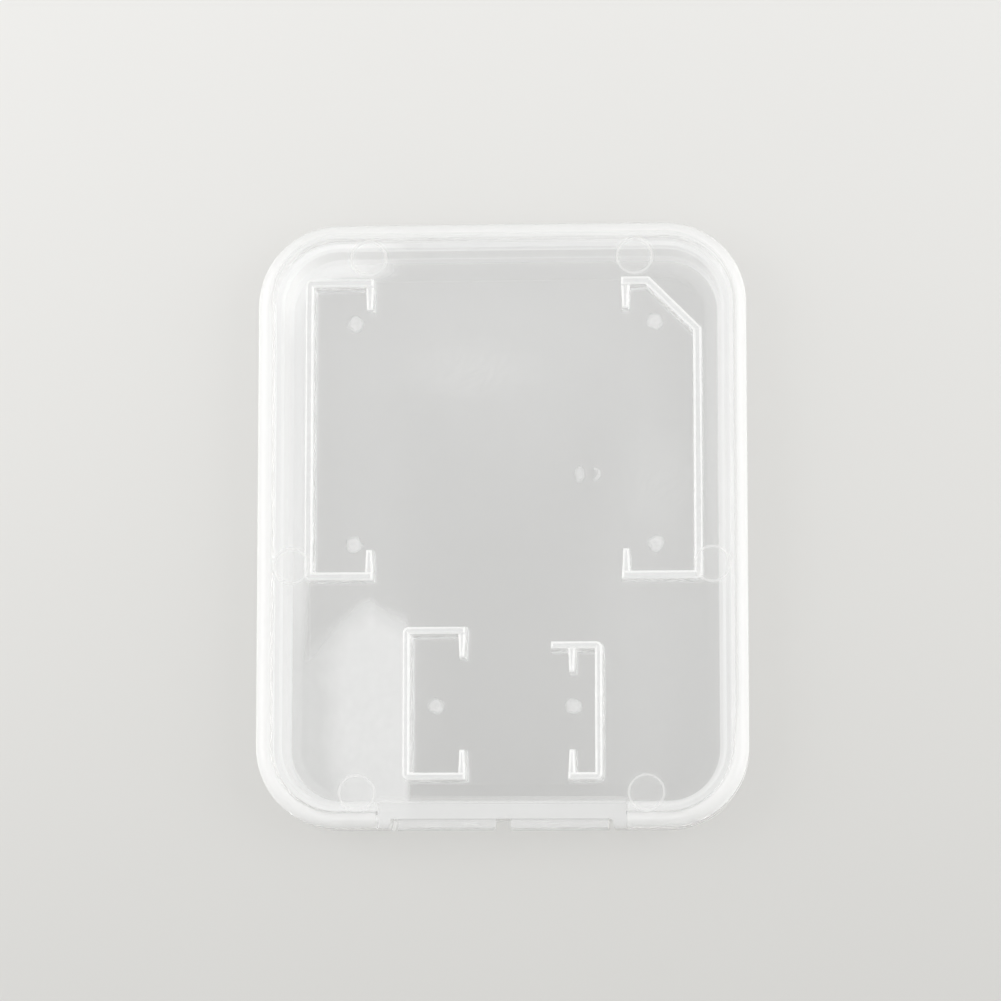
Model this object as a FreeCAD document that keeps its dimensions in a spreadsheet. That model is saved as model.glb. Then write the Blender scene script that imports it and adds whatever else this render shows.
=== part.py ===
"""Hinged clear case for one full-size and one micro memory card.

A rounded tray carries four card holders, and two thin straps fold between it and a lid over its lip.
The frame has its origin under the middle of the case, +Z up, the hinge on the -Y edge and the lid shut.
"""

import FreeCAD, Part
import math
import os

import Sketcher

# Driving sizes in millimetres, and the draft in degrees.
SIZES = {
    "large_card_length": 32.0,
    "large_card_width": 24.0,
    "large_card_thickness": 2.1,
    "large_card_cut": 4.0,
    "large_clearance": 0.3,
    "large_left_arm": 6.15,
    "large_right_arm": 7.15,
    "micro_card_length": 15.0,
    "micro_card_width": 11.0,
    "micro_card_thickness": 1.0,
    "micro_nose_width": 9.7,
    "micro_clearance": 0.25,
    "micro_left_arm": 5.7,
    "micro_right_arm": 3.25,
    "micro_arm_tail": 1.45,
    "holder_wall": 0.95,
    "holder_draft": 2.5,
    "holder_corner_radius": 0.5,
    "holder_lead": 0.18,
    "rest_length": 1.95,
    "rest_taper": 0.12,
    "card_guide": 0.4,
    "lid_play": 0.15,
    "side_margin": 1.6,
    "front_margin": 2.1,
    "holder_gap": 3.85,
    "rear_margin": 1.85,
    "corner_radius": 7.0,
    "floor_thickness": 1.0,
    "roof_thickness": 1.0,
    "base_height": 3.5,
    "lid_height": 3.45,
    "seam_gap": 0.05,
    "lid_wall": 1.15,
    "lip_clearance": 0.1,
    "lip_wall": 0.9,
    "lip_rise": 1.7,
    "lip_lead": 0.25,
    "outer_edge_radius": 1.0,
    "panel_inset": 4.0,
    "panel_depth": 0.2,
    "floor_bevel": 0.4,
    "ceiling_bevel": 0.3,
    "snap_radius": 0.3,
    "snap_sink": 0.1,
    "snap_rise": 0.85,
    "snap_length": 16.0,
    "snap_clearance": 0.08,
    "hinge_width": 18.7,
    "hinge_recess": 0.8,
    "hinge_flare": 0.2,
    "hinge_end_wall": 1.3,
    "strap_width": 8.4,
    "strap_slot": 1.25,
    "strap_thickness": 0.25,
    "strap_leg": 0.525,
    "fold_radius": 0.25,
    "lid_pin_diameter": 3.0,
    "lid_pin_margin": 0.05,
    "lid_pin_front_spread": 11.45,
    "lid_pin_rear_spread": 12.3,
    "lid_pin_setback": 3.6,
    "floor_pin_diameter": 1.5,
    "large_pin_spread_x": 13.1,
    "large_pin_spread_y": 9.7,
    "micro_pin_spread": 5.95,
    "pin_depth": 0.1,
    "gate_diameter": 1.0,
    "gate_height": 0.12,
    "gate_pitch": 1.25,
    "gate_x": 7.1,
    "gate_y": 4.85,
}

# Sizes and places that follow from the driving sizes.
DERIVED = {
    "large_half": "large_card_length / 2 + large_clearance",
    "large_outer": "large_half + holder_wall",
    "large_depth": "large_card_width + 2 * large_clearance",
    "micro_half": "micro_card_length / 2 + micro_clearance",
    "micro_outer": "micro_half + holder_wall",
    "micro_depth": "micro_card_width + 2 * micro_clearance",
    "nose_depth": "micro_nose_width + 2 * micro_clearance",
    "half_wall": "holder_wall / 2",
    "lip_inset": "lid_wall + lip_clearance",
    "inner_inset": "lip_inset + lip_wall",
    "half_width": "large_outer + side_margin + inner_inset",
    "clear_length": "front_margin + large_depth + holder_gap + micro_depth + rear_margin + 4 * holder_wall",
    "half_length": "clear_length / 2 + inner_inset",
    "large_front": "half_length - inner_inset - front_margin - holder_wall",
    "large_rear": "large_front - large_depth",
    "large_middle": "(large_front + large_rear) / 2",
    "micro_front": "large_rear - holder_gap - 2 * holder_wall",
    "micro_rear": "micro_front - micro_depth",
    "micro_middle": "(micro_front + micro_rear) / 2",
    "nose_front": "micro_rear + nose_depth",
    "cut_growth": "holder_wall * (2 - sqrt(2))",
    "large_left_end": "large_left_arm - large_outer",
    "large_right_end": "large_outer - large_right_arm",
    "micro_left_end": "micro_left_arm - micro_outer",
    "micro_right_end": "micro_outer - micro_right_arm",
    "lip_top": "base_height + lip_rise",
    "lip_depth": "lip_top - floor_thickness",
    "lid_bottom": "base_height + seam_gap",
    "case_height": "lid_bottom + lid_height",
    "ceiling": "case_height - roof_thickness",
    "lid_depth": "ceiling - lid_bottom",
    "large_rest_height": "ceiling - floor_thickness - lid_play - large_card_thickness",
    "micro_rest_height": "ceiling - floor_thickness - lid_play - micro_card_thickness",
    "large_holder_height": "large_rest_height + card_guide",
    "micro_holder_height": "micro_rest_height + card_guide",
    "snap_groove_radius": "snap_radius + snap_clearance",
    "snap_groove_length": "snap_length + 2 * snap_clearance",
    "recess_half": "hinge_width / 2",
    "lip_gap_half": "recess_half + hinge_end_wall",
    "recess_back": "half_length - hinge_recess",
    "fold_centre": "recess_back + strap_leg",
    "fold_level": "base_height + seam_gap / 2",
    "fold_outer_radius": "fold_radius + strap_thickness / 2",
    "fold_inner_radius": "fold_radius - strap_thickness / 2",
    "strap_right_start": "strap_slot / 2",
    "strap_left_start": "-1 * strap_slot / 2 - strap_width",
    "lid_pin_radius": "lid_pin_diameter / 2",
    "lid_pin_inset": "lid_wall + ceiling_bevel + lid_pin_radius + lid_pin_margin",
    "floor_pin_radius": "floor_pin_diameter / 2",
    "gate_radius": "gate_diameter / 2",
    "half_gate_pitch": "gate_pitch / 2",
}

# Bodies of the case, one for each node, in the order they are made.
NODES = []

doc = FreeCAD.newDocument("memory_card_case")
sheet = doc.addObject("Spreadsheet::Sheet", "Sizes")


def fill_sheet():
    """Write the driving numbers and the formulas that follow from them, each with its name as alias."""
    rows = [(name, str(number)) for name, number in SIZES.items()]
    rows += [(name, "=" + formula) for name, formula in DERIVED.items()]
    for row, (name, content) in enumerate(rows, start=1):
        sheet.set(f"A{row}", name)
        sheet.set(f"B{row}", content)
        sheet.setAlias(f"B{row}", name)
    doc.recompute()


def value(place):
    """Number of a place, a sum of sheet names such as "- half_length + lid_wall"."""
    total, sign = 0.0, 1.0
    for word in place.split():
        if word in "+-":
            sign = 1.0 if word == "+" else -1.0
        else:
            total += sign * float(sheet.get(word))
    return total


def linked(place):
    """Expression of a place, which reads its names from the sheet."""
    return " ".join(word if word in "+-" else "Sizes." + word for word in place.split())


def new_body(name):
    """Empty body of one node."""
    body = doc.addObject("PartDesign::Body", name)
    body.Label = name
    NODES.append(body)
    return body


def new_sketch(body, name, role="XY_Plane", level=None):
    """Sketch on one of the body's own planes, moved along that plane's normal to a level."""
    sketch = body.newObject("Sketcher::SketchObject", f"{body.Label}_{name}")
    plane = next(part for part in body.Origin.OriginFeatures if part.Role == role)
    sketch.AttachmentSupport = [(plane, "")]
    sketch.MapMode = "FlatFace"
    if level:
        sketch.setExpression("AttachmentOffset.Base.z", linked(level))
    return sketch


def rule(sketch, kind, ends, place):
    """Dimension of a sketch that follows the sheet."""
    index = sketch.addConstraint(Sketcher.Constraint(kind, *ends, value(place)))
    sketch.setExpression(f"Constraints[{index}]", linked(place))


def pin(sketch, geometry, end, x, y):
    """Hold one point of a sketch at a place."""
    rule(sketch, "DistanceX", (-1, 1, geometry, end), x)
    rule(sketch, "DistanceY", (-1, 1, geometry, end), y)


def polygon(sketch, corners):
    """Closed outline of straight edges through the corners."""
    count = len(corners)
    points = [FreeCAD.Vector(value(x), value(y), 0) for x, y in corners]
    for index, point in enumerate(points):
        sketch.addGeometry(Part.LineSegment(point, points[(index + 1) % count]), False)
    for index, (x, y) in enumerate(corners):
        sketch.addConstraint(Sketcher.Constraint("Coincident", index, 2, (index + 1) % count, 1))
        pin(sketch, index, 1, x, y)


def circle(sketch, x, y, radius):
    """Circle about a place."""
    centre = FreeCAD.Vector(value(x), value(y), 0)
    index = sketch.addGeometry(Part.Circle(centre, FreeCAD.Vector(0, 0, 1), value(radius)), False)
    pin(sketch, index, 3, x, y)
    rule(sketch, "Radius", (index,), radius)


def rounded_rectangle(sketch, inset=None):
    """Outline of the case, or a line that runs inside it at an inset all round."""
    less = f" - {inset}" if inset else ""
    half_width, half_length, radius = "half_width" + less, "half_length" + less, "corner_radius" + less
    across, along, bend = value(half_width), value(half_length), value(radius)
    mid_x, mid_y = across - bend, along - bend
    sides = [
        ((-mid_x, -along), (mid_x, -along), (mid_x, -mid_y), -math.pi / 2),
        ((across, -mid_y), (across, mid_y), (mid_x, mid_y), 0.0),
        ((mid_x, along), (-mid_x, along), (-mid_x, mid_y), math.pi / 2),
        ((-across, mid_y), (-across, -mid_y), (-mid_x, -mid_y), math.pi),
    ]
    for start, finish, centre, turn in sides:
        sketch.addGeometry(Part.LineSegment(FreeCAD.Vector(*start, 0), FreeCAD.Vector(*finish, 0)), False)
        corner = Part.Circle(FreeCAD.Vector(*centre, 0), FreeCAD.Vector(0, 0, 1), bend)
        sketch.addGeometry(Part.ArcOfCircle(corner, turn, turn + math.pi / 2), False)
    for line in (0, 2, 4, 6):
        sketch.addConstraint(Sketcher.Constraint("Tangent", line, 2, line + 1, 1))
        sketch.addConstraint(Sketcher.Constraint("Tangent", line + 1, 2, (line + 2) % 8, 1))
    for line, direction in ((0, "Horizontal"), (2, "Vertical"), (4, "Horizontal"), (6, "Vertical")):
        sketch.addConstraint(Sketcher.Constraint(direction, line))
    for corner in (3, 5, 7):
        sketch.addConstraint(Sketcher.Constraint("Equal", 1, corner))
    rule(sketch, "Radius", (1,), radius)
    rule(sketch, "DistanceX", (6, 1, -1, 1), half_width)
    rule(sketch, "DistanceX", (-1, 1, 2, 1), half_width)
    rule(sketch, "DistanceY", (0, 1, -1, 1), half_length)
    rule(sketch, "DistanceY", (-1, 1, 4, 1), half_length)


def hairpin(sketch, radius):
    """Outline from the recess wall along one leg, round the fold and back along the other leg."""
    low, high = f"fold_level - {radius}", f"fold_level + {radius}"
    wall, bend = -value("recess_back"), -value("fold_centre")
    lower, upper = FreeCAD.Vector(bend, value(low), 0), FreeCAD.Vector(bend, value(high), 0)
    lower_root, upper_root = FreeCAD.Vector(wall, value(low), 0), FreeCAD.Vector(wall, value(high), 0)
    fold = Part.Circle((lower + upper) / 2, FreeCAD.Vector(0, 0, 1), value(radius))
    sketch.addGeometry(Part.LineSegment(lower_root, lower), False)
    sketch.addGeometry(Part.ArcOfCircle(fold, math.pi / 2, 3 * math.pi / 2), False)
    sketch.addGeometry(Part.LineSegment(upper, upper_root), False)
    sketch.addGeometry(Part.LineSegment(upper_root, lower_root), False)
    for meeting in ((0, 2, 1, 2), (1, 1, 2, 1), (2, 2, 3, 1), (3, 2, 0, 1)):
        sketch.addConstraint(Sketcher.Constraint("Coincident", *meeting))
    pin(sketch, 0, 1, "- recess_back", low)
    pin(sketch, 0, 2, "- fold_centre", low)
    pin(sketch, 2, 1, "- fold_centre", high)
    pin(sketch, 2, 2, "- recess_back", high)
    rule(sketch, "DistanceX", (-1, 1, 1, 3), "- fold_centre")


def feature(body, kind, name, sketch, length=None, flipped=False, centred=False, draft=None):
    """Pad or pocket of a sketch, through everything where no length is given."""
    before = body.Shape.Volume if body.Shape.Solids else 0.0
    made = body.newObject("PartDesign::" + kind, f"{body.Label}_{name}")
    made.Profile = sketch
    made.Reversed = flipped
    if length:
        made.setExpression("Length", linked(length))
    else:
        made.Type = "ThroughAll"
    if centred:
        made.SideType = "Symmetric"
    if draft:
        made.setExpression("TaperAngle", linked(draft))
    doc.recompute()
    grown = body.Shape.Volume - before
    if (grown if kind == "Pad" else -grown) <= 0:
        raise RuntimeError(f"{made.Label} left the volume as it was")
    return made


def dress_edges(body, kind, name, base, size, wanted):
    """Fillet or chamfer along the edges of a feature that are wanted."""
    edges = [f"Edge{index}" for index, edge in enumerate(base.Shape.Edges, start=1) if wanted(edge)]
    made = body.newObject("PartDesign::" + kind, f"{body.Label}_{name}")
    made.Base = (base, edges)
    made.setExpression("Radius" if kind == "Fillet" else "Size", linked(size))
    doc.recompute()
    return made


def flat_at(height):
    """Test for an edge that lies level at a height."""
    return lambda edge: max(abs(edge.BoundBox.ZMin - height), abs(edge.BoundBox.ZMax - height)) < 1e-6


def standing_at(corners):
    """Test for an edge that rises from one of the corners on the tray's floor."""
    feet = [FreeCAD.Vector(value(x), value(y), value("floor_thickness")) for x, y in corners]

    def stands(edge):
        ends = [vertex.Point for vertex in edge.Vertexes]
        on_foot = any(end.distanceToPoint(foot) < 1e-6 for end in ends for foot in feet)
        return on_foot and edge.BoundBox.ZLength > value("card_guide")

    return stands


def rest_rim(card, root, tip):
    """Test for the upper edges of a rest that stand free of its arm."""
    level = flat_at(value(f"floor_thickness + {card}_rest_height"))
    arm, end = value(root), value(tip)

    def is_free(edge):
        reach = (edge.CenterOfMass.y - arm) / (end - arm)
        return level(edge) and value("half_wall") / abs(end - arm) < reach < 1.0

    return is_free


def cut_hinge_recess(body):
    """Notch in the hinge edge that the straps lie in, wider at its mouth."""
    plan = new_sketch(body, "recess_plan", level="case_height")
    mouth_x, mouth_y = "recess_half + hinge_flare + hinge_flare", "- half_length - hinge_recess"
    polygon(plan, [
        ("- recess_half", "- recess_back"),
        ("recess_half", "- recess_back"),
        (mouth_x, mouth_y),
        ("- recess_half - hinge_flare - hinge_flare", mouth_y),
    ])
    feature(body, "Pocket", "recess", plan)


def make_base_tray():
    """Tray with a raised lip, a snap bead in front, the hinge recess behind and a panel underneath."""
    body = new_body("base_tray")
    outline = new_sketch(body, "outline")
    rounded_rectangle(outline)
    block = feature(body, "Pad", "block", outline, "base_height")
    dress_edges(body, "Fillet", "outer_edge", block, "outer_edge_radius", flat_at(0.0))
    lip = new_sketch(body, "lip_outline", level="floor_thickness")
    rounded_rectangle(lip, "lip_inset")
    feature(body, "Pad", "lip", lip, "lip_depth")
    inside = new_sketch(body, "inside_outline", level="lip_top")
    rounded_rectangle(inside, "inner_inset")
    hollow = feature(body, "Pocket", "inside", inside, "lip_depth")
    floor_edge = flat_at(value("floor_thickness"))
    bevel = dress_edges(body, "Chamfer", "floor_bevel", hollow, "floor_bevel", floor_edge)
    dress_edges(body, "Chamfer", "lip_lead", bevel, "lip_lead", flat_at(value("lip_top")))
    gap = new_sketch(body, "lip_gap_plan", level="lip_top")
    gap_inner = "- half_length + inner_inset + lip_wall"
    polygon(gap, [
        ("- lip_gap_half", "- half_length"),
        ("lip_gap_half", "- half_length"),
        ("lip_gap_half", gap_inner),
        ("- lip_gap_half", gap_inner),
    ])
    feature(body, "Pocket", "lip_gap", gap, "lip_rise")
    cut_hinge_recess(body)
    bead = new_sketch(body, "snap_section", "YZ_Plane")
    circle(bead, "half_length - lip_inset - snap_sink", "base_height + snap_rise", "snap_radius")
    feature(body, "Pad", "snap_bead", bead, "snap_length", centred=True)
    pins = new_sketch(body, "pin_plan", level="floor_thickness")
    for side in ("", "- "):
        for row in ("large_middle + large_pin_spread_y", "large_middle - large_pin_spread_y"):
            circle(pins, side + "large_pin_spread_x", row, "floor_pin_radius")
        circle(pins, side + "micro_pin_spread", "micro_middle", "floor_pin_radius")
    feature(body, "Pocket", "pin_marks", pins, "pin_depth")
    panel = new_sketch(body, "panel_outline")
    rounded_rectangle(panel, "panel_inset")
    feature(body, "Pocket", "panel", panel, "panel_depth", flipped=True)
    gates = new_sketch(body, "gate_plan", level="panel_depth")
    for column in ("gate_x - half_gate_pitch", "gate_x + half_gate_pitch"):
        circle(gates, column, "gate_y", "gate_radius")
    feature(body, "Pad", "gate_stubs", gates, "gate_height", flipped=True)


def make_lid():
    """Lid that drops over the lip, stepped inward behind the straps, with a groove for the bead."""
    body = new_body("lid")
    outline = new_sketch(body, "outline", level="lid_bottom")
    rounded_rectangle(outline)
    block = feature(body, "Pad", "block", outline, "lid_height")
    dress_edges(body, "Fillet", "outer_edge", block, "outer_edge_radius", flat_at(value("case_height")))
    inside = new_sketch(body, "inside_outline", level="lid_bottom")
    rounded_rectangle(inside, "lid_wall")
    hollow = feature(body, "Pocket", "inside", inside, "lid_depth", flipped=True)
    dress_edges(body, "Chamfer", "ceiling_bevel", hollow, "ceiling_bevel", flat_at(value("ceiling")))
    jog = new_sketch(body, "jog_plan", level="lid_bottom")
    jog_inner = "- half_length + inner_inset"
    polygon(jog, [
        ("- lip_gap_half + lip_clearance", "- recess_back"),
        ("lip_gap_half - lip_clearance", "- recess_back"),
        ("lip_gap_half - lip_clearance", jog_inner),
        ("- lip_gap_half + lip_clearance", jog_inner),
    ])
    feature(body, "Pad", "jog", jog, "lid_depth")
    cut_hinge_recess(body)
    groove = new_sketch(body, "snap_section", "YZ_Plane")
    circle(groove, "half_length - lip_inset - snap_sink", "base_height + snap_rise", "snap_groove_radius")
    feature(body, "Pocket", "snap_groove", groove, "snap_groove_length", centred=True)
    pins = new_sketch(body, "pin_plan", level="ceiling")
    for side in ("", "- "):
        circle(pins, side + "lid_pin_front_spread", "half_length - lid_pin_inset", "lid_pin_radius")
        circle(pins, side + "lid_pin_rear_spread", "- half_length + lid_pin_inset", "lid_pin_radius")
    for edge in ("half_width - lid_pin_inset", "- half_width + lid_pin_inset"):
        circle(pins, edge, "- lid_pin_setback", "lid_pin_radius")
    feature(body, "Pocket", "pin_marks", pins, "pin_depth", flipped=True)


def make_strap(name, start):
    """Thin web folded double between tray and lid, with its ends on the recess walls."""
    body = new_body(name)
    outside = new_sketch(body, "outside", "YZ_Plane", start)
    hairpin(outside, "fold_outer_radius")
    feature(body, "Pad", "web", outside, "strap_width")
    inside = new_sketch(body, "inside", "YZ_Plane", start)
    hairpin(inside, "fold_inner_radius")
    feature(body, "Pocket", "fold", inside, "strap_width", flipped=True)


def make_holder(name, card, plan_corners, round_corners, rests):
    """Drafted guide wall round one end of a card, with a rest under the card at the end of each arm.

    The rests carry the card just under the shut lid, and the wall rises past them to guide its edge.
    A rest is given by the x of its two sides, the y of its arm's middle and the y of its tip.
    """
    body = new_body(name)
    plan = new_sketch(body, "plan", level="floor_thickness")
    polygon(plan, plan_corners)
    wall = feature(body, "Pad", "wall", plan, card + "_holder_height", draft="- holder_draft")
    upright = standing_at(round_corners)
    rounded = dress_edges(body, "Fillet", "corners", wall, "holder_corner_radius", upright)
    top = flat_at(value(f"floor_thickness + {card}_holder_height"))
    dress_edges(body, "Chamfer", "lead", rounded, "holder_lead", top)
    for index, (left, right, root, tip) in enumerate(rests, start=1):
        foot = new_sketch(body, f"rest_plan_{index}", level="floor_thickness")
        polygon(foot, [
            (left, root),
            (right, root),
            (right + " - rest_taper", tip),
            (left + " + rest_taper", tip),
        ])
        rest = feature(body, "Pad", f"rest_{index}", foot, card + "_rest_height", draft="- holder_draft")
        dress_edges(body, "Chamfer", f"rest_lead_{index}", rest, "holder_lead", rest_rim(card, root, tip))


def make_large_holders():
    """Holders for the two ends of the full-size card, the right one with the card's cut corner."""
    front, rear = "large_front + holder_wall", "large_rear - holder_wall"
    front_rest = ("large_front + half_wall", "large_front - rest_length")
    rear_rest = ("large_rear - half_wall", "large_rear + rest_length")
    left_sides = ("large_left_end - holder_wall", "large_left_end")
    make_holder(
        "large_card_holder_left",
        "large",
        [
            ("large_left_end", front),
            ("- large_outer", front),
            ("- large_outer", rear),
            ("large_left_end", rear),
            ("large_left_end", "large_rear"),
            ("- large_half", "large_rear"),
            ("- large_half", "large_front"),
            ("large_left_end", "large_front"),
        ],
        [("- large_outer", front), ("- large_outer", rear)],
        [left_sides + front_rest, left_sides + rear_rest],
    )
    right_sides = ("large_right_end", "large_right_end + holder_wall")
    make_holder(
        "large_card_holder_right",
        "large",
        [
            ("large_right_end", rear),
            ("large_outer", rear),
            ("large_outer", front + " - large_card_cut - cut_growth"),
            ("large_outer - large_card_cut - cut_growth", front),
            ("large_right_end", front),
            ("large_right_end", "large_front"),
            ("large_half - large_card_cut", "large_front"),
            ("large_half", "large_front - large_card_cut"),
            ("large_half", "large_rear"),
            ("large_right_end", "large_rear"),
        ],
        [("large_outer", rear)],
        [right_sides + front_rest, right_sides + rear_rest],
    )


def make_micro_holders():
    """Holders for the two ends of the micro card, the right one closer round its narrow nose."""
    front, rear, nose = "micro_front + holder_wall", "micro_rear - holder_wall", "nose_front + holder_wall"
    rear_rest = ("micro_rear - half_wall", "micro_rear + rest_length")
    left_sides = ("micro_left_end - holder_wall", "micro_left_end")
    make_holder(
        "micro_card_holder_left",
        "micro",
        [
            ("micro_left_end", front),
            ("- micro_outer", front),
            ("- micro_outer", rear),
            ("micro_left_end", rear),
            ("micro_left_end", "micro_rear"),
            ("- micro_half", "micro_rear"),
            ("- micro_half", "micro_front"),
            ("micro_left_end", "micro_front"),
        ],
        [("- micro_outer", front), ("- micro_outer", rear)],
        [left_sides + ("micro_front + half_wall", "micro_front - rest_length"), left_sides + rear_rest],
    )
    right_sides = ("micro_right_end", "micro_right_end + holder_wall")
    make_holder(
        "micro_card_holder_right",
        "micro",
        [
            ("micro_right_end", rear),
            ("micro_outer", rear),
            ("micro_outer", nose),
            ("micro_right_end - micro_arm_tail", nose),
            ("micro_right_end - micro_arm_tail", "nose_front"),
            ("micro_half", "nose_front"),
            ("micro_half", "micro_rear"),
            ("micro_right_end", "micro_rear"),
        ],
        [("micro_outer", rear), ("micro_outer", nose)],
        [right_sides + ("nose_front + half_wall", "nose_front - rest_length"), right_sides + rear_rest],
    )


def write_parts():
    """Check every object, then write one file for each node."""
    doc.recompute()
    for item in doc.Objects:
        if "Invalid" in item.State or "Error" in item.State:
            raise RuntimeError(f"{item.Label}: {item.State}")
    for body in NODES:
        if body.Shape.isNull() or not body.Shape.isValid() or len(body.Shape.Solids) != 1:
            raise RuntimeError(f"{body.Label} is not one valid solid")
    os.makedirs("parts", exist_ok=True)
    for body in NODES:
        body.Shape.exportStep(f"parts/{body.Label}.step")
        print(f"{body.Label}: {body.Shape.Volume:.1f} mm3")


fill_sheet()
make_base_tray()
make_lid()
make_strap("hinge_strap_left", "strap_left_start")
make_strap("hinge_strap_right", "strap_right_start")
make_large_holders()
make_micro_holders()
write_parts()
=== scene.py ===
"""Looks of an empty memory card case: clear, hinged, shut, seen from above on a pale table."""

import logging
import math
from dataclasses import dataclass, field
from enum import Enum
from typing import Any, Mapping

import bmesh
import bpy
from mathutils import Matrix, Vector


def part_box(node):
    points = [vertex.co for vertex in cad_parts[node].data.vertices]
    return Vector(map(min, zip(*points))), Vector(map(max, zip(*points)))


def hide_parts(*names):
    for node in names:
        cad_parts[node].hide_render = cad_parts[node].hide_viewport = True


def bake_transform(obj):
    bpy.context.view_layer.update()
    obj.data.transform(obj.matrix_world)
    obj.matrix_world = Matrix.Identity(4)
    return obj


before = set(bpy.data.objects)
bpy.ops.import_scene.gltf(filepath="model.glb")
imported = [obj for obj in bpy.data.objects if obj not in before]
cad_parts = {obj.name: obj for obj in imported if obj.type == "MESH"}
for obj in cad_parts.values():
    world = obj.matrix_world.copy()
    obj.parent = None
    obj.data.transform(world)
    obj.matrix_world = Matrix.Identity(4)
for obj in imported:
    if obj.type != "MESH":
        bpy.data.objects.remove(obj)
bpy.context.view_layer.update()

Number = int | float
Colour = tuple[float, float, float]
Point = tuple[float, float]
Place = tuple[float, float, float]
Span = tuple[float, float]

MM = 0.001
BLACK: Colour = (0.0, 0.0, 0.0)
SLOPING: Span = (0.95, 0.85)
UPRIGHT: Span = (0.3, 0.1)
LOG = logging.getLogger("card_case")


class Body(Enum):
    """The two halves of the case that the hinge joins."""

    BASE = "base"
    LID = "lid"


class Slot(Enum):
    """The finishes that the part's record names."""

    TRAY = "clear_tray"
    LID = "clear_lid"
    WEB = "hinge_web"
    HOLDER = "clear_holder"


class Side(Enum):
    """The two sides of the case, seen from above with the hinge nearest."""

    LEFT = "left"
    RIGHT = "right"


class MixSocket(Enum):
    """The places of a Mix node's colour sockets among its inputs and outputs."""

    FIRST = 6
    SECOND = 7
    RESULT = 2


class Signal:
    """A value that leaves a shader node, with arithmetic that adds Math nodes."""

    def __init__(self, bench: "Bench", socket: bpy.types.NodeSocket) -> None:
        """Keeps the socket and the bench it belongs to."""
        self.bench = bench
        self.socket = socket

    def part(self, name: str) -> "Signal":
        """Another output of the same node."""
        return Signal(self.bench, self.socket.node.outputs[name])

    def _math(self, operation: str, *terms: "Signal | Number") -> "Signal":
        """The result of one new Math node that has the terms as its inputs."""
        return self.bench.add("ShaderNodeMath", {"operation": operation}, dict(enumerate(terms)))

    def __add__(self, other: "Signal | Number") -> "Signal":
        """This plus other."""
        return self._math("ADD", self, other)

    __radd__ = __add__

    def __sub__(self, other: "Signal | Number") -> "Signal":
        """This less other."""
        return self._math("SUBTRACT", self, other)

    def __rsub__(self, other: Number) -> "Signal":
        """A number less this."""
        return self._math("SUBTRACT", other, self)

    def __mul__(self, other: "Signal | Number") -> "Signal":
        """This times other."""
        return self._math("MULTIPLY", self, other)

    __rmul__ = __mul__

    def __truediv__(self, other: "Signal | Number") -> "Signal":
        """This divided by other."""
        return self._math("DIVIDE", self, other)

    def __rtruediv__(self, other: Number) -> "Signal":
        """A number divided by this."""
        return self._math("DIVIDE", other, self)

    def __abs__(self) -> "Signal":
        """This without its sign."""
        return self._math("ABSOLUTE", self)

    def max(self, other: "Signal | Number") -> "Signal":
        """The larger of this and other."""
        return self._math("MAXIMUM", self, other)

    def min(self, other: "Signal | Number") -> "Signal":
        """The smaller of this and other."""
        return self._math("MINIMUM", self, other)

    def root(self) -> "Signal":
        """The square root of this."""
        return self._math("SQRT", self)

    def rise(self, low: float, high: float) -> "Signal":
        """A smooth step from 0 at low to 1 at high.

        Args:
            low: where the step starts; it may lie above high for a step that falls.
            high: where the step ends.

        Returns:
            The step, from 0 to 1.
        """
        return self.bench.add(
            "ShaderNodeMapRange",
            {"interpolation_type": "SMOOTHSTEP"},
            {"Value": self, "From Min": low, "From Max": high},
        )

    def under(self, limit: float, soft: float = 0.05) -> "Signal":
        """1 where this is under the limit and 0 where it is over it, with a soft edge."""
        return self.rise(limit + soft, limit - soft)


@dataclass(frozen=True)
class Spot:
    """The point of a surface that is being shaded, in millimetres in the frame of the case."""

    place: Signal
    x: Signal
    y: Signal
    z: Signal
    level: Signal

    def reach(self, centre: Point, mirrored: bool = False) -> Signal:
        """How far the point is from a place, seen from above.

        Args:
            centre: the X and Y of the place.
            mirrored: whether a twin of the place on the other side counts too.

        Returns:
            The distance in millimetres.
        """
        off_x = (abs(self.x) if mirrored else self.x) - centre[0]
        off_y = self.y - centre[1]
        return (off_x * off_x + off_y * off_y).root()

    def nearest(self, centres: tuple[Point, ...]) -> Signal:
        """How far the point is from the nearest of some places, seen from above.

        Args:
            centres: the X and Y of each place, whose twin on the other side counts too.

        Returns:
            The distance in millimetres.
        """
        distance = self.reach(centres[0], mirrored=True)
        for centre in centres[1:]:
            distance = distance.min(self.reach(centre, mirrored=True))
        return distance

    def slant(self) -> Signal:
        """1 where the surface slopes or stands upright, 0 where it is level."""
        return self.level.rise(*SLOPING)

    def upright(self) -> Signal:
        """1 where the surface stands upright, 0 where it slopes or is level."""
        return self.level.rise(*UPRIGHT)

    def patch(self, centre: Point, radii: Point) -> Signal:
        """A soft oval seen from above.

        Args:
            centre: the X and Y of its middle.
            radii: its half width and half length.

        Returns:
            1 in the middle, falling to 0 at the edge.
        """
        off_x = (self.x - centre[0]) / radii[0]
        off_y = (self.y - centre[1]) / radii[1]
        return (off_x * off_x + off_y * off_y).rise(1.0, 0.0)


@dataclass(frozen=True)
class Hairs:
    """Fine straight scratches in one direction.

    The turn is their direction seen from above in degrees, the length and the gap are about
    how long and how far apart they are in millimetres, and the span is the noise at which a
    scratch starts and at which it is full.
    """

    turn: float
    length: float
    gap: float
    span: Span = (0.68, 0.78)


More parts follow.
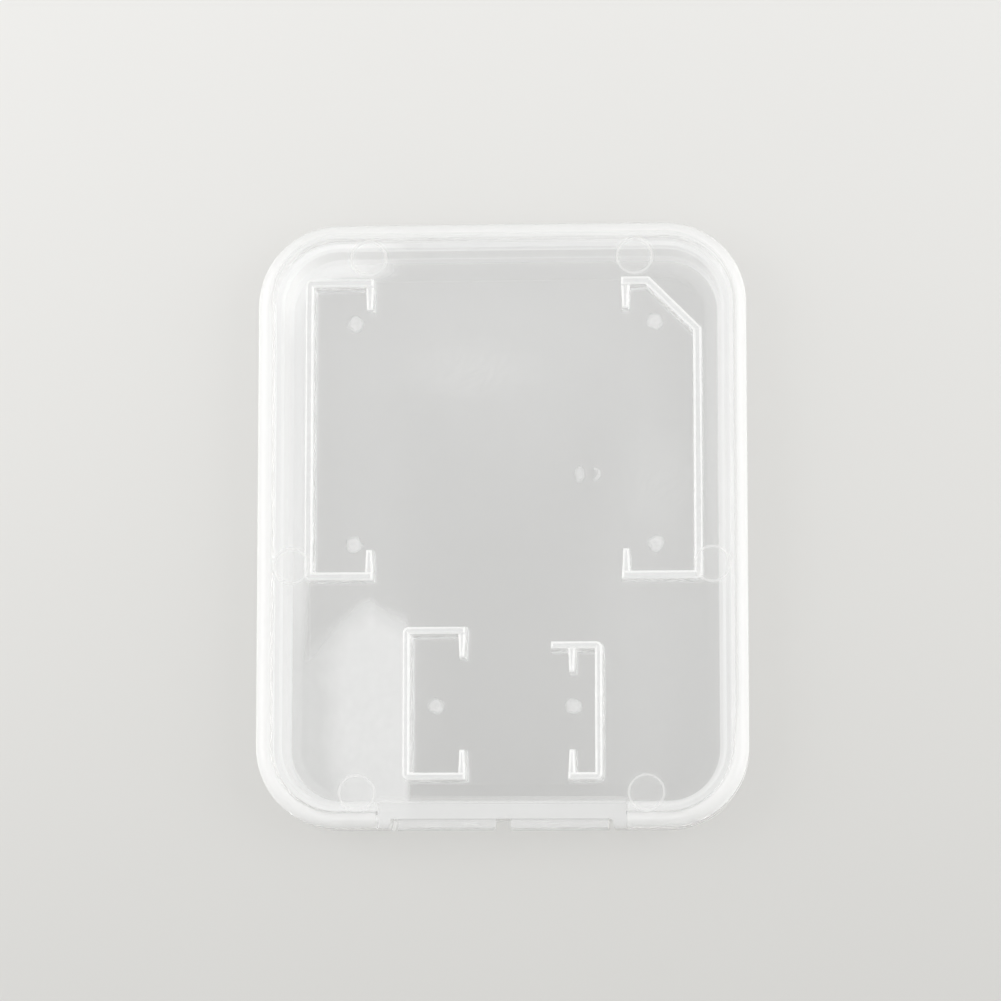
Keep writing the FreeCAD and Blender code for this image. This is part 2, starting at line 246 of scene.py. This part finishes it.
class Bench:
    """The node tree of one material, on which its finish is put together."""

    def __init__(self, material: bpy.types.Material) -> None:
        """Clears the material's tree and adds its output.

        Args:
            material: the material that the tree belongs to.
        """
        material.use_nodes = True
        self.tree = material.node_tree
        self.tree.nodes.clear()
        self.output = self.tree.nodes.new("ShaderNodeOutputMaterial")

    def add(
        self,
        kind: str,
        settings: Mapping[str, Any] | None = None,
        sockets: Mapping[str | int, Any] | None = None,
        result: str | int = 0,
    ) -> Signal:
        """Adds one node.

        Args:
            kind: the node's type.
            settings: its own settings, set before its sockets.
            sockets: what its inputs hold or are linked to.
            result: the output to go on with.

        Returns:
            The chosen output.
        """
        node = self.tree.nodes.new(kind)
        for name, setting in (settings or {}).items():
            setattr(node, name, setting)
        for name, value in (sockets or {}).items():
            if isinstance(value, Signal):
                self.tree.links.new(value.socket, node.inputs[name])
            else:
                node.inputs[name].default_value = value
        return Signal(self, node.outputs[result])

    def spot(self) -> Spot:
        """The point being shaded.

        Returns:
            Its place, and how level the surface is there: 1 for flat, 0 for upright.
        """
        own = self.add("ShaderNodeTexCoord", result="Object")
        place = self.add(
            "ShaderNodeVectorMath", {"operation": "SCALE"}, {0: own, "Scale": 1 / MM}
        )
        split = self.add("ShaderNodeSeparateXYZ", {}, {0: place})
        facing = self.add("ShaderNodeSeparateXYZ", {}, {0: own.part("Normal")}, "Z")
        return Spot(place, split, split.part("Y"), split.part("Z"), abs(facing))

    def noise(self, place: Signal, size: float, detail: float = 2.0) -> Signal:
        """Cloudy noise from 0 to 1.

        Args:
            place: where it is read, in millimetres.
            size: the size of its clouds in millimetres.
            detail: how many finer layers it has.

        Returns:
            The noise.
        """
        return self.add(
            "ShaderNodeTexNoise", {}, {"Vector": place, "Scale": 1 / size, "Detail": detail}
        )

    def hairlines(self, place: Signal, hairs: Hairs) -> Signal:
        """Fine straight scratches in one direction.

        Args:
            place: where they are read, in millimetres.
            hairs: how they run.

        Returns:
            1 in a scratch and 0 beside it.
        """
        along = self.add(
            "ShaderNodeMapping",
            {"vector_type": "TEXTURE"},
            {
                "Vector": place,
                "Rotation": (0.0, 0.0, math.radians(hairs.turn)),
                "Scale": (hairs.length, hairs.gap, hairs.length),
            },
        )
        return self.noise(along, size=1.0, detail=0.0).rise(*hairs.span)

    def mix_colour(self, share: "Signal | Number", first: Colour, second: Colour) -> Signal:
        """A colour that goes from first to second.

        Args:
            share: how much of second there is, from 0 to 1.
            first: the colour at 0.
            second: the colour at 1.

        Returns:
            The mixed colour.
        """
        colours = {MixSocket.FIRST.value: (*first, 1.0), MixSocket.SECOND.value: (*second, 1.0)}
        return self.add(
            "ShaderNodeMix",
            {"data_type": "RGBA"},
            {"Factor": share, **colours},
            result=MixSocket.RESULT.value,
        )

    def mix_shader(self, share: "Signal | Number", first: Signal, second: Signal) -> Signal:
        """A shader that goes from first to second as share goes from 0 to 1."""
        return self.add("ShaderNodeMixShader", {}, {0: share, 1: first, 2: second})

    def show(self, surface: Signal) -> None:
        """Shows the finished shader on the surface."""
        self.tree.links.new(surface.socket, self.output.inputs["Surface"])


@dataclass(frozen=True)
class RoundedOutline:
    """The outline of the case seen from above, in millimetres."""

    half_width: float = 21.0
    half_length: float = 26.0
    corner_radius: float = 7.0

    def depth(self, spot: Spot) -> Signal:
        """How far a point lies inside the outline.

        Args:
            spot: the point.

        Returns:
            The distance to the outline in millimetres, 0 on it and more inside.
        """
        over_x = abs(spot.x) - (self.half_width - self.corner_radius)
        over_y = abs(spot.y) - (self.half_length - self.corner_radius)
        round_x = over_x.max(0.0)
        round_y = over_y.max(0.0)
        corner = (round_x * round_x + round_y * round_y).root()
        return self.corner_radius - corner - over_x.max(over_y).min(0.0)


@dataclass(frozen=True)
class Milk:
    """How milky a clear plastic is at a point: its share of milk, how white that is, and how much
    painted glow it gives off.
    """

    share: "Signal | Number"
    white: "Signal | Number"
    painted_glow: "Signal | Number" = 0.0


@dataclass(frozen=True)
class ClearPlastic:
    """Clear polypropylene that turns milky where it is thick, bent or rubbed."""

    name: str
    tint: Colour = (0.985, 0.988, 0.993)
    grey: Colour = (0.92, 0.92, 0.91)
    white: Colour = (0.985, 0.985, 0.975)
    # Painted glow: how strongly milky places give off light of their own.
    painted_glow_strength: float = 0.03
    glow: float = 0.15
    warp: float = 0.3
    warp_size: float = 14.0
    warp_height: float = 0.02
    cloud_size: float = 6.0
    clouded: float = 0.2
    roughness: float = 0.05
    uneven: float = 0.05
    milk_roughness: float = 0.35
    ior: float = 1.49
    shade: float = 0.95

    def milk(self, bench: Bench, spot: Spot) -> Milk:
        """How milky the plastic is from place to place."""
        raise NotImplementedError

    def material(self) -> bpy.types.Material:
        """Makes the finish.

        Returns:
            The new material.
        """
        material = bpy.data.materials.new(self.name)
        bench = Bench(material)
        spot = bench.spot()
        clouds = bench.noise(spot.place, self.cloud_size, detail=1.0)
        milk = self.milk(bench, spot)
        normal = bench.add(
            "ShaderNodeBump",
            {},
            {
                "Strength": self.warp,
                "Distance": self.warp_height * MM,
                "Height": bench.noise(spot.place, self.warp_size, detail=0.0),
            },
        )
        clear = bench.add(
            "ShaderNodeBsdfPrincipled",
            {},
            {
                "Base Color": (*self.tint, 1.0),
                "Roughness": clouds * self.uneven + self.roughness,
                "IOR": self.ior,
                "Transmission Weight": 1.0,
                "Normal": normal,
            },
        )
        opaque = bench.add(
            "ShaderNodeBsdfPrincipled",
            {},
            {
                "Base Color": bench.mix_colour(milk.white, self.grey, self.white),
                "Roughness": self.milk_roughness,
                "IOR": self.ior,
                "Normal": normal,
                # Painted glow: emission that makes milky edges and faces brighter than the lamps
                # light them.
                "Emission Color": bench.mix_colour(milk.painted_glow, BLACK, self.white),
                "Emission Strength": 1.0,
            },
        )
        through = bench.add("ShaderNodeBsdfTranslucent", {}, {"Color": (*self.white, 1.0)})
        cloudy = bench.mix_shader(self.glow, opaque, through)
        share = (clouds * self.clouded + (1.0 - self.clouded / 2)) * milk.share
        skin = bench.mix_shader(share, clear, cloudy)
        path = bench.add("ShaderNodeLightPath", result="Is Shadow Ray")
        past = bench.add(
            "ShaderNodeBsdfTransparent", {}, {"Color": (self.shade, self.shade, self.shade, 1.0)}
        )
        bench.show(bench.mix_shader(path.max(path.part("Is Diffuse Ray")), skin, past))
        return material


@dataclass(frozen=True)
class RimmedPlastic(ClearPlastic):
    """A half of the case: white in its outer wall, greyer behind the hinge, clear in the middle,
    with painted shade on the rim toward its front and rear ends.
    """

    clear_milk: float = 0.01
    rim: float = 0.85
    rim_depth: float = 1.15
    rim_soft: float = 0.45
    wall_depth: float = 1.6
    outer_depth: Span = (0.8, 0.5)
    clearing: float = 0.5
    # Painted shade: how much less white the rim is toward its front and rear ends.
    front_end: Span = (22.0, 25.5)
    front_painted_shade: float = 0.33
    rear_end: Span = (-22.0, -25.5)
    rear_painted_shade: float = 0.35
    right_part: Span = (8.0, 18.0)
    right_from: Span = (-22.0, -14.0)
    front_part: Span = (16.0, 24.0)
    narrowed: float = 0.4
    hinge: float = 0.13
    hinge_half_width: float = 10.65
    hinge_depth: float = 2.7
    outline: RoundedOutline = RoundedOutline()

    def outside(self, spot: Spot, depth: Signal) -> Signal:
        """1 on the upright outer face and 0 on all others, by the depth inside the outline."""
        return spot.upright() * depth.rise(*self.outer_depth)

    def behind(self, spot: Spot) -> Signal:
        """1 in the bar behind the hinge and 0 elsewhere."""
        across = abs(spot.x).under(self.hinge_half_width)
        return across * spot.y.under(self.hinge_depth - self.outline.half_length)

    def milk(self, bench: Bench, spot: Spot) -> Milk:
        """Milky by the height of plastic under each place.

        Args:
            bench: the tree to work on; not used here.
            spot: the point.

        Returns:
            The milk at the point.
        """
        depth = self.outline.depth(spot)
        behind = self.behind(spot)
        sides = spot.slant() * depth.under(self.wall_depth)
        right = spot.x.rise(*self.right_part) * spot.y.rise(*self.right_from)
        rim = depth + right.max(spot.y.rise(*self.front_part)) * self.narrowed
        rim = rim.rise(self.rim_depth + self.rim_soft, self.rim_depth)
        rim = rim.max(sides) * (1.0 - behind)
        # Painted shade: the rim is made less white toward its front and rear ends.
        front = spot.y.rise(*self.front_end) * self.front_painted_shade
        rear = spot.y.rise(*self.rear_end) * self.rear_painted_shade
        rim = rim * (1.0 - front - rear)
        outside = self.outside(spot, depth)
        share = rim * (1.0 - outside * self.clearing) * self.rim
        share = share.max(behind * self.hinge).max(self.clear_milk)
        # The rim gives off a faint painted glow, except on its outer upright face.
        return Milk(share, rim, rim * (1.0 - outside) * self.painted_glow_strength)


@dataclass(frozen=True)
class LidPlastic(RimmedPlastic):
    """The lid, with the rings that its ejector pins left and the scuffs of use."""

    pin_radius: float = 1.5
    pins: tuple[Point, ...] = ((11.45, 23.0), (12.3, -23.0), (18.0, -3.6))
    ring: float = 0.3
    ring_width: float = 0.2
    dish: float = 0.06
    dish_soft: float = 0.1
    whitening: Span = (0.0, 0.05)
    inner_depth: Span = (0.8, 1.0)
    # Painted glow on the lid's inner upright faces.
    painted_glow_inside: float = 0.12
    hairs: tuple[Hairs, Hairs] = (
        Hairs(68.0, 1.6, 0.22, (0.35, 0.75)),
        Hairs(21.0, 1.3, 0.25, (0.35, 0.75)),
    )
    hairy: float = 0.3
    wear_size: float = 11.0
    wear_span: Span = (0.35, 0.7)
    rubbed: tuple[tuple[Point, Point], ...] = (
        ((-2.9, 13.1), (8.0, 3.0)),
        ((13.5, 3.5), (3.5, 6.0)),
    )
    rubbing: float = 2.5
    scuffed: float = 0.037
    top: Span = (6.7, 6.9)
    top_depth: Span = (2.0, 4.0)

    def milk(self, bench: Bench, spot: Spot) -> Milk:
        """Milky in the wall, along the rings of the pins and where the lid is rubbed.

        Args:
            bench: the tree to work on.
            spot: the point.

        Returns:
            The milk at the point.
        """
        wall = super().milk(bench, spot)
        pin = spot.nearest(self.pins)
        ring = abs(pin - self.pin_radius).rise(self.ring_width, 0.0) * self.ring
        dish = pin.rise(self.pin_radius, self.pin_radius - self.dish_soft) * self.dish
        scuffs = self.scuffs(bench, spot)
        white = wall.white.max((ring + scuffs).rise(*self.whitening))
        inside = spot.upright() * self.outline.depth(spot).rise(*self.inner_depth)
        # Painted glow on the inner upright faces, where the milk is white.
        painted_glow = wall.painted_glow + wall.white * inside * self.painted_glow_inside
        return Milk(wall.share + ring + dish + scuffs, white, painted_glow)

    def scuffs(self, bench: Bench, spot: Spot) -> Signal:
        """Fine pale hairs on the lid's top that gather where it is rubbed most.

        Args:
            bench: the tree to work on.
            spot: the point.

        Returns:
            The share of milk that the scuffs add.
        """
        first, second = (bench.hairlines(spot.place, hairs) for hairs in self.hairs)
        hairs = first.max(second) * self.hairy + (1.0 - self.hairy)
        worn = bench.noise(spot.place, self.wear_size, detail=1.0).rise(*self.wear_span)
        for centre, radii in self.rubbed:
            worn = worn + spot.patch(centre, radii) * self.rubbing
        top = spot.z.rise(*self.top) * self.outline.depth(spot).rise(*self.top_depth)
        return hairs * worn * top * self.scuffed


@dataclass(frozen=True)
class TrayPlastic(RimmedPlastic):
    """The tray, with its bright lip, pin marks and gate stubs, painted light on its floor and a
    painted glow on some faces.
    """

    wall_depth: float = 2.2
    lip: float = 0.9
    bar_dimmed: float = 0.38
    floor_bevel: float = 0.9
    over_floor: Span = (1.0, 1.05)
    right_lip: Span = (12.0, 18.0)
    right_lip_depth: Span = (1.3, 1.7)
    right_dimmed: float = 0.25
    panel_inset: float = 4.0
    panel_step: Span = (0.25, 0.2)
    # Painted glow along the panel step.
    panel_painted_glow: float = 0.2
    grain_size: float = 0.6
    pin_radius: float = 0.6
    pins: tuple[Point, ...] = ((13.1, 18.2), (13.1, -1.2), (5.95, -15.3))
    mark: float = 0.7
    mark_edge: Span = (0.2, -0.2)
    mark_grain: float = 0.8
    mark_least: float = 0.4
    gate_leaf: Point = (6.475, 4.85)
    gate_leaf_radii: Point = (0.55, 0.9)
    gate_arc: Point = (7.725, 4.85)
    gate_arc_radius: float = 0.45
    gate_arc_width: float = 0.25
    gate_arc_side: Span = (-0.2, 0.2)
    gate: float = 0.36
    sway_size: float = 5.0
    sway: float = 3.0
    # Painted pool of light on the floor: its strength, thinning, edges and grain.
    patch: float = 0.58
    patch_thin: float = 0.45
    patch_left: Span = (-16.6, -13.2)
    patch_right: Span = (-8.0, -8.7)
    patch_front: Span = (-4.6, -8.6)
    patch_ridge: float = -11.6
    patch_slope: float = 0.6
    patch_grain: float = 0.1
    # Painted light strips on the floor along the walls.
    strip: float = 0.95
    strip_part: Span = (-7.5, -14.5)
    right_strip: float = 0.22
    right_strip_part: Span = (9.0, 15.0)
    strip_from: Span = (-12.0, 4.0)
    strip_rear: float = 0.35
    strip_inner: Span = (4.6, 3.0)
    strip_outer: Span = (1.4, 1.6)
    # Painted light: the floor made brighter toward the front and the sides.
    painted_brightening: float = 0.1
    painted_brightening_front: Span = (-4.0, 24.0)
    painted_brightening_sides: Span = (4.0, 13.0)
    floor_top: Span = (1.45, 1.4)
    painted_floor_light_white: Span = (0.0, 0.3)
    # Painted glow at the front ends of the floor strips and on the inner face of the front lip.
    painted_glow_corner: float = 0.1
    painted_glow_corner_wall: float = 0.1
    painted_glow_corner_from: Span = (15.0, 22.0)
    painted_glow_front: float = 0.14
    painted_glow_front_from: Span = (22.5, 23.5)
    painted_glow_front_outer: Span = (2.0, 2.1)
    painted_glow_front_inner: Span = (2.22, 2.16)

    def marks(self, spot: Spot, grain: Signal) -> Signal:
        """The ragged marks of the pins, and the gate stubs.

        Args:
            spot: the point.
            grain: fine noise that makes them ragged.

        Returns:
            The share of milk that the marks add.
        """
        ragged = grain * self.mark_grain
        pins = spot.nearest(self.pins) - self.pin_radius + ragged - self.mark_grain / 2
        pins = pins.rise(*self.mark_edge) * (ragged + self.mark_least) * self.mark
        arc = abs(spot.reach(self.gate_arc) - self.gate_arc_radius).rise(self.gate_arc_width, 0.0)
        arc = arc * (spot.x - self.gate_arc[0]).rise(*self.gate_arc_side)
        leaf = spot.patch(self.gate_leaf, self.gate_leaf_radii)
        return pins + arc.max(leaf) * self.gate

    def painted_light_patch(self, spot: Spot, grain: Signal, sway: Signal) -> Signal:
        """A painted pool of light: a hazy bright patch on the left of the floor, toward the hinge.

        Args:
            spot: the point.
            grain: fine noise within the patch.
            sway: broad noise in millimetres that makes its edges wander.

        Returns:
            The share of milk in the patch.
        """
        dense = (spot.x + sway).rise(*self.patch_left)
        dense = dense * (1.0 - self.patch_thin) + self.patch_thin
        gable = spot.y + abs(spot.x - self.patch_ridge) * self.patch_slope + sway
        inside = spot.x.rise(*self.patch_right) * gable.rise(*self.patch_front)
        rough = grain * self.patch_grain + (1.0 - self.patch_grain / 2)
        return dense * inside * rough * self.patch

    def strips(self, spot: Spot, depth: Signal, sway: Signal) -> Signal:
        """Painted light: a bright strip on the floor along the left wall and a weaker one along the
        right.

        Args:
            spot: the point.
            depth: how far it lies inside the outline in millimetres.
            sway: broad noise in millimetres that makes the ends wander.

        Returns:
            The share of milk in the strips.
        """
        left = spot.x.rise(*self.strip_part) * self.strip
        right = spot.x.rise(*self.right_strip_part) * self.right_strip
        fading = (spot.y + sway).rise(*self.strip_from) * (1.0 - self.strip_rear) + self.strip_rear
        across = depth.rise(*self.strip_inner) * depth.rise(*self.strip_outer)
        return left.max(right) * fading * across

    def milk(self, bench: Bench, spot: Spot) -> Milk:
        """Milky in the wall and lip and in the marks, with painted light on the floor and a painted
        glow on some faces.

        Args:
            bench: the tree to work on.
            spot: the point.

        Returns:
            The milk at the point.
        """
        wall = super().milk(bench, spot)
        slant = spot.slant()
        depth = self.outline.depth(spot)
        grain = bench.noise(spot.place, self.grain_size, detail=1.0)
        sway = bench.noise(spot.place, self.sway_size, detail=1.0) * self.sway - self.sway / 2
        lip = depth.under(self.wall_depth) * self.lip
        lip = lip * (1.0 - self.outside(spot, depth) * self.clearing)
        lip = lip * (1.0 - self.behind(spot) * self.bar_dimmed)
        foot = slant * spot.z.rise(*self.over_floor) * self.floor_bevel
        dimmed = spot.x.rise(*self.right_lip) * depth.rise(*self.right_lip_depth)
        solid = wall.share.max(lip).max(foot) * (1.0 - dimmed * self.right_dimmed)
        step = slant * abs(depth - self.panel_inset).rise(*self.panel_step)
        strips = self.strips(spot, depth, sway)
        # Painted light on the floor: the patch, a lift toward the front and sides, and the strips
        # along the walls.
        painted_brightening = spot.y.rise(*self.painted_brightening_front).max(abs(spot.x).rise(*self.painted_brightening_sides))
        painted_floor_light = self.painted_light_patch(spot, grain, sway).max(painted_brightening * self.painted_brightening)
        painted_floor_light = (painted_floor_light * spot.z.rise(*self.floor_top)).max(strips)
        share = solid.max(step) + self.marks(spot, grain) + painted_floor_light
        # Painted glow at the front ends of the floor strips, on the front lip's inner face and
        # along the panel step.
        corner = slant * self.painted_glow_corner_wall + self.painted_glow_corner
        corner = strips * spot.y.rise(*self.painted_glow_corner_from) * corner
        front = slant * spot.y.rise(*self.painted_glow_front_from) * self.painted_glow_front
        front = front * depth.rise(*self.painted_glow_front_outer) * depth.rise(*self.painted_glow_front_inner)
        painted_glow = wall.painted_glow.max(corner).max(front).max(step * self.panel_painted_glow)
        return Milk(share, wall.white.max(painted_floor_light.rise(*self.painted_floor_light_white)), painted_glow)


@dataclass(frozen=True)
class HolderPlastic(ClearPlastic):
    """The card holders: white on their sides, greyer on top, and white along the bevels, partly as
    milky plastic and partly as painted highlights.
    """

    top: float = 0.85
    bevel: float = 0.97
    side: float = 0.5
    side_level: Span = (0.5, 0.4)
    foot: float = 0.08
    floor: float = 1.0
    shoulder: float = 4.6
    speck: float = 0.06
    speck_size: float = 0.8
    speck_span: Span = (0.3, 0.7)

    def milk(self, bench: Bench, spot: Spot) -> Milk:
        """Milky on top and white along the bevels, partly as painted highlights, with sides that
        clear toward the floor.

        Args:
            bench: the tree to work on.
            spot: the point.

        Returns:
            The milk at the point.
        """
        slant = spot.slant()
        upright = spot.level.rise(*self.side_level)
        climb = spot.z.rise(self.floor, self.shoulder) * (self.side - self.foot) + self.foot
        specks = bench.noise(spot.place, self.speck_size).rise(*self.speck_span) * self.speck
        # The bevels are whiter than the top: milky plastic with painted highlights along the edges.
        level = slant * (self.bevel - self.top) + self.top - specks
        share = upright * climb + (1.0 - upright) * level
        # The bevels also give off a painted glow.
        return Milk(share, slant, slant * self.painted_glow_strength)


@dataclass(frozen=True)
class WebPlastic(ClearPlastic):
    """The hinge webs, whitened in streaks by folding."""

    bent: float = 0.25
    streak: Hairs = Hairs(0.0, 3.0, 0.08)
    streaked: float = 0.2
    streak_white: float = 0.5

    def milk(self, bench: Bench, spot: Spot) -> Milk:
        """Milky all over, with whiter streaks across the fold."""
        streaks = bench.hairlines(spot.place, self.streak)
        return Milk(streaks * self.streaked + self.bent, streaks * self.streak_white)


@dataclass(frozen=True)
class PaleTable:
    """The smooth pale sheet the case lies on, with faint random clouds of tone and painted light
    that makes it a little brighter toward the top left.
    """

    name: str = "pale_table"
    # Painted light: the sheet's colours at its darker and its brighter end.
    near: Colour = (0.667, 0.662, 0.641)
    far: Colour = (0.852, 0.846, 0.826)
    middle: float = 0.48
    reach: float = 56.0
    skew: float = 0.12
    cloud_size: float = 40.0
    clouded: float = 0.06
    roughness: float = 0.6
    gloss: float = 0.3

    def material(self) -> bpy.types.Material:
        """Makes the finish.

        Returns:
            The new material.
        """
        material = bpy.data.materials.new(self.name)
        bench = Bench(material)
        spot = bench.spot()
        clouds = bench.noise(spot.place, self.cloud_size) * self.clouded - self.clouded / 2
        # Painted light falling off from the top left, with random clouds of tone.
        painted_light_and_tone = (spot.y - spot.x * self.skew) / (2.0 * self.reach) + self.middle + clouds
        sheet = bench.add(
            "ShaderNodeBsdfPrincipled",
            {},
            {
                "Base Color": bench.mix_colour(painted_light_and_tone.max(0.0).min(1.0), self.near, self.far),
                "Roughness": self.roughness,
                "Specular IOR Level": self.gloss,
            },
        )
        bench.show(sheet)
        return material


@dataclass
class SubAssembly:
    """Pieces of the case that share one finish."""

    finish: ClearPlastic
    pieces: list[bpy.types.Object] = field(default_factory=list)

    def build(self) -> None:
        """Takes up or makes the pieces."""
        raise NotImplementedError

    def take(self, node: str) -> None:
        """Takes up one solid of the frame, which keeps its shape."""
        self.pieces.append(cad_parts[node])

    def dress(self) -> None:
        """Puts the finish on every piece."""
        material = self.finish.material()
        for piece in self.pieces:
            if not piece.material_slots:
                piece.data.materials.append(material)
            for slot in piece.material_slots:
                slot.material = material
            LOG.info("dressed %s in %s", piece.name, material.name)


@dataclass
class BaseTray(SubAssembly):
    """The tray that lies on the table."""

    finish: ClearPlastic = TrayPlastic(Slot.TRAY.value, painted_glow_strength=0.05, shade=0.93)

    def build(self) -> None:
        """Takes up the tray."""
        self.take("base_tray")


@dataclass
class Lid(SubAssembly):
    """The lid that drops over the tray's lip."""

    finish: ClearPlastic = LidPlastic(Slot.LID.value, shade=0.995)

    def build(self) -> None:
        """Takes up the lid."""
        self.take("lid")


@dataclass
class CardHolders(SubAssembly):
    """The guides round the ends of the full-size and the micro card."""

    finish: ClearPlastic = HolderPlastic(Slot.HOLDER.value, painted_glow_strength=0.18, shade=0.99)
    cards: tuple[str, str] = ("large", "micro")

    def build(self) -> None:
        """Takes up the four holders."""
        for card in self.cards:
            for side in Side:
                self.take(f"{card}_card_holder_{side.value}")


@dataclass
class HingeStraps(SubAssembly):
    """The two folded webs of the living hinge, in millimetres."""

    finish: ClearPlastic = WebPlastic(Slot.WEB.value)
    level: float = 3.525
    fold_radius: float = 0.25
    thickness: float = 0.25
    steps: int = 12
    strips: int = 18

    def build(self) -> None:
        """Makes both webs."""
        for side in Side:
            self.pieces.append(self._web(side))

    def _hairpin(self, radius: float, root: float, bend: float) -> list[Point]:
        """The line of one face of a web, from the tray round the fold to the lid.

        Args:
            radius: the radius of its fold.
            root: the Y where both legs end.
            bend: the Y of the fold's middle.

        Returns:
            The Y and Z of its points.
        """
        fold = []
        for step in range(self.steps + 1):
            turn = math.pi * (step / self.steps - 0.5)
            fold.append((bend - radius * math.cos(turn), self.level + radius * math.sin(turn)))
        return [(root, self.level - radius), *fold, (root, self.level + radius)]

    def _web(self, side: Side) -> bpy.types.Object:
        """Makes one web in the place of its solid.

        Args:
            side: the side it is on.

        Returns:
            The web, bending from the tray to the lid.
        """
        node = f"hinge_strap_{side.value}"
        low, high = (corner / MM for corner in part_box(node))
        half = self.thickness / 2
        bend = low.y + self.fold_radius + half
        outer = self._hairpin(self.fold_radius + half, high.y, bend)
        inner = self._hairpin(self.fold_radius - half, high.y, bend)
        ring = outer + inner[::-1]
        mesh = bmesh.new()
        rows = []
        for strip in range(self.strips + 1):
            x = low.x + (high.x - low.x) * strip / self.strips
            rows.append([mesh.verts.new(Vector((x, y, z)) * MM) for y, z in ring])
        for row, after in zip(rows, rows[1:]):
            for index, vertex in enumerate(row):
                mesh.faces.new((vertex, row[index - 1], after[index - 1], after[index]))
        for row in (rows[0], rows[-1]):
            for index in range(len(outer) - 1):
                mesh.faces.new((row[index], row[index + 1], row[-index - 2], row[-index - 1]))
        bmesh.ops.recalc_face_normals(mesh, faces=mesh.faces)
        data = bpy.data.meshes.new(f"hinge_web_{side.value}")
        mesh.to_mesh(data)
        mesh.free()
        web = bpy.data.objects.new(data.name, data)
        bpy.context.scene.collection.objects.link(web)
        Vector((0.0, bend, self.level - self.fold_radius)) * MM
        Vector((0.0, bend, self.level + self.fold_radius)) * MM
        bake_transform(web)
        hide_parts(node)
        LOG.info("built %s", web.name)
        return web


@dataclass(frozen=True)
class Panel:
    """A soft square lamp, in millimetres and watts."""

    name: str
    place: Place
    power: float = 0.9
    size: float = 320.0

    def hang(self) -> None:
        """Hangs the lamp so that it faces the case."""
        lamp = bpy.data.lights.new(self.name, "AREA")
        lamp.shape = "SQUARE"
        lamp.size = self.size * MM
        lamp.energy = self.power
        holder = bpy.data.objects.new(self.name, lamp)
        holder.location = Vector(self.place) * MM
        holder.rotation_euler = (-Vector(self.place)).to_track_quat("-Z", "Y").to_euler()
        bpy.context.scene.collection.objects.link(holder)
        LOG.info("hung %s", self.name)


@dataclass
class Studio:
    """The table, the soft lights and the camera above the case, in millimetres."""

    table: PaleTable = PaleTable()
    table_side: float = 3000.0
    table_drop: float = 0.1
    panels: tuple[Panel, ...] = (
        Panel("left_panel", (-330.0, 50.0, 230.0)),
        Panel("right_panel", (340.0, 40.0, 230.0)),
    )
    room: float = 0.49
    room_colour: Colour = (1.0, 1.0, 0.995)
    distance: float = 350.0
    lean: Point = (0.061, -0.122)
    aim: Place = (-0.26, 2.3, 3.5)
    pixels_per_mm: float = 11.6
    image: int = 1001
    sensor: float = 36.0
    clip_start: float = 10.0

    def build(self) -> None:
        """Sets up the table, lights, surroundings and camera."""
        self._table()
        for panel in self.panels:
            panel.hang()
        self._surroundings()
        self._camera()

    def _table(self) -> None:
        """Lays the table under the case."""
        mesh = bmesh.new()
        bmesh.ops.create_grid(mesh, x_segments=2, y_segments=2, size=self.table_side / 2 * MM)
        data = bpy.data.meshes.new("table")
        mesh.to_mesh(data)
        mesh.free()
        data.materials.append(self.table.material())
        table = bpy.data.objects.new("table", data)
        table.location.z = -self.table_drop * MM
        bpy.context.scene.collection.objects.link(table)
        LOG.info("laid %s", table.name)

    def _surroundings(self) -> None:
        """Fills the room with even pale light."""
        world = bpy.data.worlds.new("pale_room")
        world.use_nodes = True
        ground = world.node_tree.nodes["Background"]
        ground.inputs["Color"].default_value = (*self.room_colour, 1.0)
        ground.inputs["Strength"].default_value = self.room
        bpy.context.scene.world = world

    def _camera(self) -> None:
        """Puts the camera over the case, leaning a little to the hinge and the right."""
        back = Vector((*self.lean, 1.0)).normalized()
        right = Vector((0.0, 1.0, 0.0)).cross(back).normalized()
        turn = Matrix((right, back.cross(right), back)).transposed().to_4x4()
        place = (Vector(self.aim) + back * self.distance) * MM
        lens = bpy.data.cameras.new("camera")
        lens.sensor_width = self.sensor
        lens.lens = self.sensor * self.distance * self.pixels_per_mm / self.image
        lens.clip_start = self.clip_start * MM
        camera = bpy.data.objects.new("camera", lens)
        camera.matrix_world = Matrix.Translation(place) @ turn
        bpy.context.scene.collection.objects.link(camera)
        bpy.context.scene.camera = camera


@dataclass(frozen=True)
class LightPaths:
    """How often light is followed on from a surface, by kind."""

    diffuse: int = 2
    all_kinds: int = 10
    transparent: int = 24

    def apply(self) -> None:
        """Lets light pass the many clear layers without grainy caustics, in the plain view."""
        scene = bpy.context.scene
        scene.view_settings.view_transform = "Standard"
        scene.cycles.caustics_reflective = False
        scene.cycles.caustics_refractive = False
        scene.cycles.diffuse_bounces = self.diffuse
        scene.cycles.max_bounces = self.all_kinds
        scene.cycles.transparent_max_bounces = self.transparent


def main() -> None:
    """Builds and dresses the case, then the studio."""
    logging.basicConfig(level=logging.INFO, format="%(message)s")
    for assembly in (BaseTray(), CardHolders(), HingeStraps(), Lid()):
        assembly.build()
        assembly.dress()
    Studio().build()
    LightPaths().apply()


if __name__ == "__main__":
    main()
